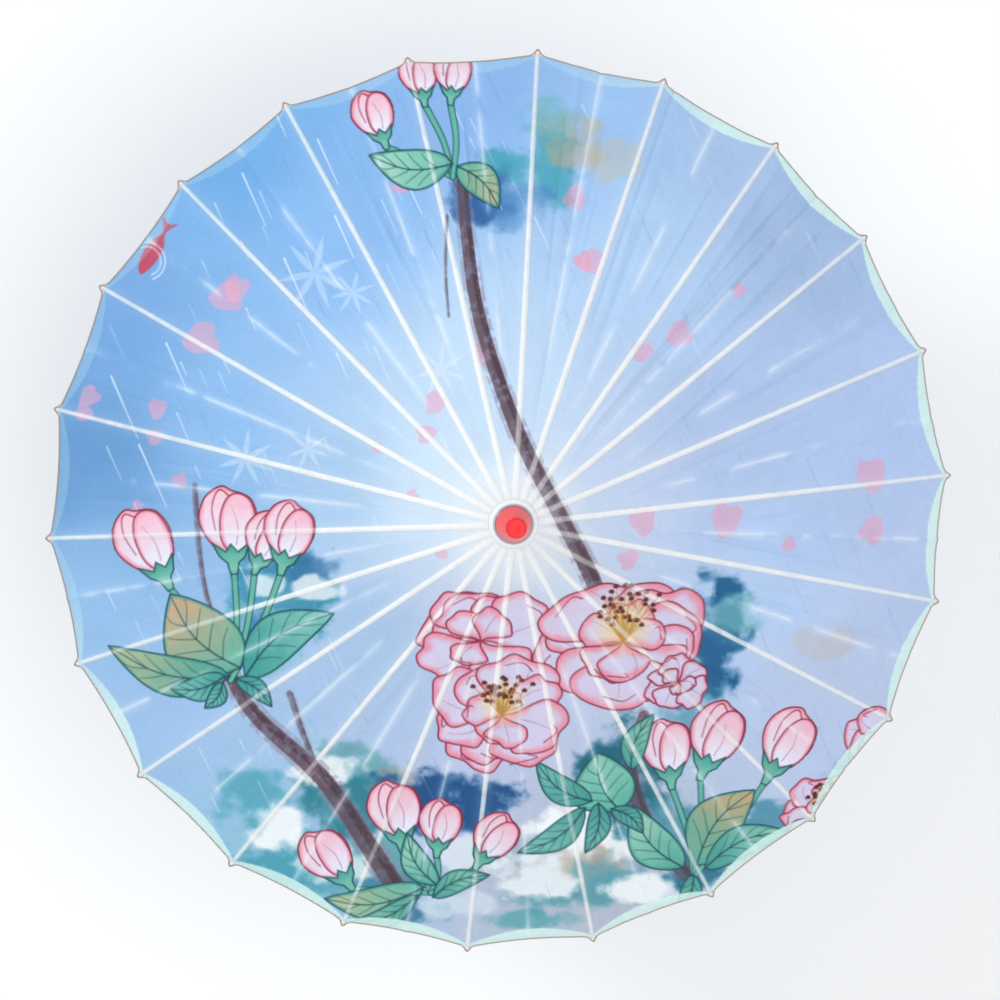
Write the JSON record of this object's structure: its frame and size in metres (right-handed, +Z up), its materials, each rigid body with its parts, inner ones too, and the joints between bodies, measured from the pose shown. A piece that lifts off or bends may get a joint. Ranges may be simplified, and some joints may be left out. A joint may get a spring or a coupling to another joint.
{
  "type": "oil paper umbrella",
  "caption": "Folding parasol with a printed oiled canopy on a split-bamboo frame, a sliding runner with a spring catch, and a straight hand grip.",
  "frame": {"origin": "centre of the straight part of the hand grip, on the shaft's axis", "axes": "+Z up the shaft from the grip to the cap, +X out along the first rib, +Y completes a right-handed frame; stored open and held upright"},
  "size_m": [0.8224, 0.8142, 0.5656],
  "materials": {
    "shaft_bamboo": "varnished bamboo",
    "grip_wood": "lacquered wood",
    "cap_wood": "lacquered wood",
    "head_wood": "turned wood",
    "peg_bamboo": "bamboo",
    "ring_wire": "drawn",
    "catch_steel": "rolled",
    "oiled_cloth": "printed, oiled",
    "rim_thread": "waxed",
    "band_film": "frosted film",
    "cap_plastic": "moulded, glossy",
    "rib_bamboo": "split bamboo"
  },
  "bodies": {
    "grip_and_shaft": {"shaft": "shaft_bamboo", "grip": "grip_wood", "grip_end_cap": "cap_wood", "hub": "head_wood", "hub_pin": "peg_bamboo", "hub_wire": "ring_wire", "stop_pin": "peg_bamboo", "catch_pin": "catch_steel", "canopy": "oiled_cloth", "rim_cord": "rim_thread", "neck_band": "band_film", "top_cap": "cap_plastic"},
    "runner": {"runner": "head_wood", "runner_wire": "ring_wire"},
    "catch_spring": {"catch_spring": "catch_steel"},
    "rib_01": {"rib_01": "rib_bamboo"},
    "stretcher_01": {"stretcher_01": "rib_bamboo"},
    "rib_02": {"rib_02": "rib_bamboo"},
    "stretcher_02": {"stretcher_02": "rib_bamboo"},
    "rib_03": {"rib_03": "rib_bamboo"},
    "stretcher_03": {"stretcher_03": "rib_bamboo"},
    "rib_04": {"rib_04": "rib_bamboo"},
    "stretcher_04": {"stretcher_04": "rib_bamboo"},
    "rib_05": {"rib_05": "rib_bamboo"},
    "stretcher_05": {"stretcher_05": "rib_bamboo"},
    "rib_06": {"rib_06": "rib_bamboo"},
    "stretcher_06": {"stretcher_06": "rib_bamboo"},
    "rib_07": {"rib_07": "rib_bamboo"},
    "stretcher_07": {"stretcher_07": "rib_bamboo"},
    "rib_08": {"rib_08": "rib_bamboo"},
    "stretcher_08": {"stretcher_08": "rib_bamboo"},
    "rib_09": {"rib_09": "rib_bamboo"},
    "stretcher_09": {"stretcher_09": "rib_bamboo"},
    "rib_10": {"rib_10": "rib_bamboo"},
    "stretcher_10": {"stretcher_10": "rib_bamboo"},
    "rib_11": {"rib_11": "rib_bamboo"},
    "stretcher_11": {"stretcher_11": "rib_bamboo"},
    "rib_12": {"rib_12": "rib_bamboo"},
    "stretcher_12": {"stretcher_12": "rib_bamboo"},
    "rib_13": {"rib_13": "rib_bamboo"},
    "stretcher_13": {"stretcher_13": "rib_bamboo"},
    "rib_14": {"rib_14": "rib_bamboo"},
    "stretcher_14": {"stretcher_14": "rib_bamboo"},
    "rib_15": {"rib_15": "rib_bamboo"},
    "stretcher_15": {"stretcher_15": "rib_bamboo"},
    "rib_16": {"rib_16": "rib_bamboo"},
    "stretcher_16": {"stretcher_16": "rib_bamboo"},
    "rib_17": {"rib_17": "rib_bamboo"},
    "stretcher_17": {"stretcher_17": "rib_bamboo"},
    "rib_18": {"rib_18": "rib_bamboo"},
    "stretcher_18": {"stretcher_18": "rib_bamboo"},
    "rib_19": {"rib_19": "rib_bamboo"},
    "stretcher_19": {"stretcher_19": "rib_bamboo"},
    "rib_20": {"rib_20": "rib_bamboo"},
    "stretcher_20": {"stretcher_20": "rib_bamboo"},
    "rib_21": {"rib_21": "rib_bamboo"},
    "stretcher_21": {"stretcher_21": "rib_bamboo"},
    "rib_22": {"rib_22": "rib_bamboo"},
    "stretcher_22": {"stretcher_22": "rib_bamboo"}
  },
  "joints": [
    {"name": "canopy_fold", "type": "hinge", "parent": "grip_and_shaft", "child": "rib_01", "pos_m": [0.016, 0, 0.47109], "axis": [0, 1, 0], "range_deg": [0, 63.4], "deforming": ["canopy", "rim_cord", "catch_spring"]},
    {"name": "stretcher_01_swing", "type": "hinge", "parent": "rib_01", "child": "stretcher_01", "pos_m": [0.19142, 0, 0.39807], "axis": [0, 1, 0], "range_deg": [-126.8, 0]},
    {"name": "rib_02_fold", "type": "hinge", "parent": "grip_and_shaft", "child": "rib_02", "pos_m": [0.01535, 0.00451, 0.47109], "axis": [-0.2817, 0.9595, 0], "range_deg": [0, 63.4]},
    {"name": "stretcher_02_swing", "type": "hinge", "parent": "rib_02", "child": "stretcher_02", "pos_m": [0.18366, 0.05393, 0.39807], "axis": [-0.2817, 0.9595, 0], "range_deg": [-126.8, 0]},
    {"name": "rib_03_fold", "type": "hinge", "parent": "grip_and_shaft", "child": "rib_03", "pos_m": [0.01346, 0.00865, 0.47109], "axis": [-0.5406, 0.8413, 0], "range_deg": [0, 63.4]},
    {"name": "stretcher_03_swing", "type": "hinge", "parent": "rib_03", "child": "stretcher_03", "pos_m": [0.16103, 0.10349, 0.39807], "axis": [-0.5406, 0.8413, 0], "range_deg": [-126.8, 0]},
    {"name": "rib_04_fold", "type": "hinge", "parent": "grip_and_shaft", "child": "rib_04", "pos_m": [0.01048, 0.01209, 0.47109], "axis": [-0.7557, 0.6549, 0], "range_deg": [0, 63.4]},
    {"name": "stretcher_04_swing", "type": "hinge", "parent": "rib_04", "child": "stretcher_04", "pos_m": [0.12535, 0.14466, 0.39807], "axis": [-0.7557, 0.6549, 0], "range_deg": [-126.8, 0]},
    {"name": "rib_05_fold", "type": "hinge", "parent": "grip_and_shaft", "child": "rib_05", "pos_m": [0.00665, 0.01455, 0.47109], "axis": [-0.9096, 0.4154, 0], "range_deg": [0, 63.4]},
    {"name": "stretcher_05_swing", "type": "hinge", "parent": "rib_05", "child": "stretcher_05", "pos_m": [0.07952, 0.17412, 0.39807], "axis": [-0.9096, 0.4154, 0], "range_deg": [-126.8, 0]},
    {"name": "rib_06_fold", "type": "hinge", "parent": "grip_and_shaft", "child": "rib_06", "pos_m": [0.00228, 0.01584, 0.47109], "axis": [-0.9898, 0.1423, 0], "range_deg": [0, 63.4]},
    {"name": "stretcher_06_swing", "type": "hinge", "parent": "rib_06", "child": "stretcher_06", "pos_m": [0.02724, 0.18947, 0.39807], "axis": [-0.9898, 0.1423, 0], "range_deg": [-126.8, 0]},
    {"name": "rib_07_fold", "type": "hinge", "parent": "grip_and_shaft", "child": "rib_07", "pos_m": [-0.00228, 0.01584, 0.47109], "axis": [-0.9898, -0.1423, 0], "range_deg": [0, 63.4]},
    {"name": "stretcher_07_swing", "type": "hinge", "parent": "rib_07", "child": "stretcher_07", "pos_m": [-0.02724, 0.18947, 0.39807], "axis": [-0.9898, -0.1423, 0], "range_deg": [-126.8, 0]},
    {"name": "rib_08_fold", "type": "hinge", "parent": "grip_and_shaft", "child": "rib_08", "pos_m": [-0.00665, 0.01455, 0.47109], "axis": [-0.9096, -0.4154, 0], "range_deg": [0, 63.4]},
    {"name": "stretcher_08_swing", "type": "hinge", "parent": "rib_08", "child": "stretcher_08", "pos_m": [-0.07952, 0.17412, 0.39807], "axis": [-0.9096, -0.4154, 0], "range_deg": [-126.8, 0]},
    {"name": "rib_09_fold", "type": "hinge", "parent": "grip_and_shaft", "child": "rib_09", "pos_m": [-0.01048, 0.01209, 0.47109], "axis": [-0.7558, -0.6549, 0], "range_deg": [0, 63.4]},
    {"name": "stretcher_09_swing", "type": "hinge", "parent": "rib_09", "child": "stretcher_09", "pos_m": [-0.12535, 0.14466, 0.39807], "axis": [-0.7558, -0.6549, 0], "range_deg": [-126.8, 0]},
    {"name": "rib_10_fold", "type": "hinge", "parent": "grip_and_shaft", "child": "rib_10", "pos_m": [-0.01346, 0.00865, 0.47109], "axis": [-0.5406, -0.8413, 0], "range_deg": [0, 63.4]},
    {"name": "stretcher_10_swing", "type": "hinge", "parent": "rib_10", "child": "stretcher_10", "pos_m": [-0.16103, 0.10349, 0.39807], "axis": [-0.5406, -0.8413, 0], "range_deg": [-126.8, 0]},
    {"name": "rib_11_fold", "type": "hinge", "parent": "grip_and_shaft", "child": "rib_11", "pos_m": [-0.01535, 0.00451, 0.47109], "axis": [-0.2817, -0.9595, 0], "range_deg": [0, 63.4]},
    {"name": "stretcher_11_swing", "type": "hinge", "parent": "rib_11", "child": "stretcher_11", "pos_m": [-0.18366, 0.05393, 0.39807], "axis": [-0.2817, -0.9595, 0], "range_deg": [-126.8, 0]},
    {"name": "rib_12_fold", "type": "hinge", "parent": "grip_and_shaft", "child": "rib_12", "pos_m": [-0.016, 0, 0.47109], "axis": [0, -1, 0], "range_deg": [0, 63.4]},
    {"name": "stretcher_12_swing", "type": "hinge", "parent": "rib_12", "child": "stretcher_12", "pos_m": [-0.19142, 0, 0.39807], "axis": [0, -1, 0], "range_deg": [-126.8, 0]},
    {"name": "rib_13_fold", "type": "hinge", "parent": "grip_and_shaft", "child": "rib_13", "pos_m": [-0.01535, -0.00451, 0.47109], "axis": [0.2817, -0.9595, 0], "range_deg": [0, 63.4]},
    {"name": "stretcher_13_swing", "type": "hinge", "parent": "rib_13", "child": "stretcher_13", "pos_m": [-0.18366, -0.05393, 0.39807], "axis": [0.2817, -0.9595, 0], "range_deg": [-126.8, 0]},
    {"name": "rib_14_fold", "type": "hinge", "parent": "grip_and_shaft", "child": "rib_14", "pos_m": [-0.01346, -0.00865, 0.47109], "axis": [0.5406, -0.8413, 0], "range_deg": [0, 63.4]},
    {"name": "stretcher_14_swing", "type": "hinge", "parent": "rib_14", "child": "stretcher_14", "pos_m": [-0.16103, -0.10349, 0.39807], "axis": [0.5406, -0.8413, 0], "range_deg": [-126.8, 0]},
    {"name": "rib_15_fold", "type": "hinge", "parent": "grip_and_shaft", "child": "rib_15", "pos_m": [-0.01048, -0.01209, 0.47109], "axis": [0.7557, -0.6549, 0], "range_deg": [0, 63.4]},
    {"name": "stretcher_15_swing", "type": "hinge", "parent": "rib_15", "child": "stretcher_15", "pos_m": [-0.12535, -0.14466, 0.39807], "axis": [0.7557, -0.6549, 0], "range_deg": [-126.8, 0]},
    {"name": "rib_16_fold", "type": "hinge", "parent": "grip_and_shaft", "child": "rib_16", "pos_m": [-0.00665, -0.01455, 0.47109], "axis": [0.9096, -0.4154, 0], "range_deg": [0, 63.4]},
    {"name": "stretcher_16_swing", "type": "hinge", "parent": "rib_16", "child": "stretcher_16", "pos_m": [-0.07952, -0.17412, 0.39807], "axis": [0.9096, -0.4154, 0], "range_deg": [-126.8, 0]},
    {"name": "rib_17_fold", "type": "hinge", "parent": "grip_and_shaft", "child": "rib_17", "pos_m": [-0.00228, -0.01584, 0.47109], "axis": [0.9898, -0.1423, 0], "range_deg": [0, 63.4]},
    {"name": "stretcher_17_swing", "type": "hinge", "parent": "rib_17", "child": "stretcher_17", "pos_m": [-0.02724, -0.18947, 0.39807], "axis": [0.9898, -0.1423, 0], "range_deg": [-126.8, 0]},
    {"name": "rib_18_fold", "type": "hinge", "parent": "grip_and_shaft", "child": "rib_18", "pos_m": [0.00228, -0.01584, 0.47109], "axis": [0.9898, 0.1423, 0], "range_deg": [0, 63.4]},
    {"name": "stretcher_18_swing", "type": "hinge", "parent": "rib_18", "child": "stretcher_18", "pos_m": [0.02724, -0.18947, 0.39807], "axis": [0.9898, 0.1423, 0], "range_deg": [-126.8, 0]},
    {"name": "rib_19_fold", "type": "hinge", "parent": "grip_and_shaft", "child": "rib_19", "pos_m": [0.00665, -0.01455, 0.47109], "axis": [0.9096, 0.4154, 0], "range_deg": [0, 63.4]},
    {"name": "stretcher_19_swing", "type": "hinge", "parent": "rib_19", "child": "stretcher_19", "pos_m": [0.07952, -0.17412, 0.39807], "axis": [0.9096, 0.4154, 0], "range_deg": [-126.8, 0]},
    {"name": "rib_20_fold", "type": "hinge", "parent": "grip_and_shaft", "child": "rib_20", "pos_m": [0.01048, -0.01209, 0.47109], "axis": [0.7558, 0.6549, 0], "range_deg": [0, 63.4]},
    {"name": "stretcher_20_swing", "type": "hinge", "parent": "rib_20", "child": "stretcher_20", "pos_m": [0.12535, -0.14466, 0.39807], "axis": [0.7558, 0.6549, 0], "range_deg": [-126.8, 0]},
    {"name": "rib_21_fold", "type": "hinge", "parent": "grip_and_shaft", "child": "rib_21", "pos_m": [0.01346, -0.00865, 0.47109], "axis": [0.5407, 0.8412, 0], "range_deg": [0, 63.4]},
    {"name": "stretcher_21_swing", "type": "hinge", "parent": "rib_21", "child": "stretcher_21", "pos_m": [0.16103, -0.10349, 0.39807], "axis": [0.5407, 0.8412, 0], "range_deg": [-126.8, 0]},
    {"name": "rib_22_fold", "type": "hinge", "parent": "grip_and_shaft", "child": "rib_22", "pos_m": [0.01535, -0.00451, 0.47109], "axis": [0.2817, 0.9595, 0], "range_deg": [0, 63.4]},
    {"name": "stretcher_22_swing", "type": "hinge", "parent": "rib_22", "child": "stretcher_22", "pos_m": [0.18366, -0.05393, 0.39807], "axis": [0.2817, 0.9595, 0], "range_deg": [-126.8, 0]},
    {"name": "runner_slide", "type": "hinge", "parent": "stretcher_01", "child": "runner", "pos_m": [0.016, 0, 0.32504], "axis": [0, 1, 0], "range_deg": [0, 63.4]},
    {"name": "catch_press", "type": "hinge", "parent": "grip_and_shaft", "child": "catch_spring", "pos_m": [0, 0, 0.26574], "axis": [0, -1, 0], "range_deg": [0, 7.28], "stiffness_Nm_per_rad": 0.4, "springref_deg": -8.59}
  ],
  "couplings": [
    {"joint": "stretcher_01_swing", "follows": "canopy_fold", "ratio": -2},
    {"joint": "rib_02_fold", "follows": "canopy_fold", "ratio": 1},
    {"joint": "stretcher_02_swing", "follows": "canopy_fold", "ratio": -2},
    {"joint": "rib_03_fold", "follows": "canopy_fold", "ratio": 1},
    {"joint": "stretcher_03_swing", "follows": "canopy_fold", "ratio": -2},
    {"joint": "rib_04_fold", "follows": "canopy_fold", "ratio": 1},
    {"joint": "stretcher_04_swing", "follows": "canopy_fold", "ratio": -2},
    {"joint": "rib_05_fold", "follows": "canopy_fold", "ratio": 1},
    {"joint": "stretcher_05_swing", "follows": "canopy_fold", "ratio": -2},
    {"joint": "rib_06_fold", "follows": "canopy_fold", "ratio": 1},
    {"joint": "stretcher_06_swing", "follows": "canopy_fold", "ratio": -2},
    {"joint": "rib_07_fold", "follows": "canopy_fold", "ratio": 1},
    {"joint": "stretcher_07_swing", "follows": "canopy_fold", "ratio": -2},
    {"joint": "rib_08_fold", "follows": "canopy_fold", "ratio": 1},
    {"joint": "stretcher_08_swing", "follows": "canopy_fold", "ratio": -2},
    {"joint": "rib_09_fold", "follows": "canopy_fold", "ratio": 1},
    {"joint": "stretcher_09_swing", "follows": "canopy_fold", "ratio": -2},
    {"joint": "rib_10_fold", "follows": "canopy_fold", "ratio": 1},
    {"joint": "stretcher_10_swing", "follows": "canopy_fold", "ratio": -2},
    {"joint": "rib_11_fold", "follows": "canopy_fold", "ratio": 1},
    {"joint": "stretcher_11_swing", "follows": "canopy_fold", "ratio": -2},
    {"joint": "rib_12_fold", "follows": "canopy_fold", "ratio": 1},
    {"joint": "stretcher_12_swing", "follows": "canopy_fold", "ratio": -2},
    {"joint": "rib_13_fold", "follows": "canopy_fold", "ratio": 1},
    {"joint": "stretcher_13_swing", "follows": "canopy_fold", "ratio": -2},
    {"joint": "rib_14_fold", "follows": "canopy_fold", "ratio": 1},
    {"joint": "stretcher_14_swing", "follows": "canopy_fold", "ratio": -2},
    {"joint": "rib_15_fold", "follows": "canopy_fold", "ratio": 1},
    {"joint": "stretcher_15_swing", "follows": "canopy_fold", "ratio": -2},
    {"joint": "rib_16_fold", "follows": "canopy_fold", "ratio": 1},
    {"joint": "stretcher_16_swing", "follows": "canopy_fold", "ratio": -2},
    {"joint": "rib_17_fold", "follows": "canopy_fold", "ratio": 1},
    {"joint": "stretcher_17_swing", "follows": "canopy_fold", "ratio": -2},
    {"joint": "rib_18_fold", "follows": "canopy_fold", "ratio": 1},
    {"joint": "stretcher_18_swing", "follows": "canopy_fold", "ratio": -2},
    {"joint": "rib_19_fold", "follows": "canopy_fold", "ratio": 1},
    {"joint": "stretcher_19_swing", "follows": "canopy_fold", "ratio": -2},
    {"joint": "rib_20_fold", "follows": "canopy_fold", "ratio": 1},
    {"joint": "stretcher_20_swing", "follows": "canopy_fold", "ratio": -2},
    {"joint": "rib_21_fold", "follows": "canopy_fold", "ratio": 1},
    {"joint": "stretcher_21_swing", "follows": "canopy_fold", "ratio": -2},
    {"joint": "rib_22_fold", "follows": "canopy_fold", "ratio": 1},
    {"joint": "stretcher_22_swing", "follows": "canopy_fold", "ratio": -2},
    {"joint": "runner_slide", "follows": "canopy_fold", "ratio": 1}
  ]
}
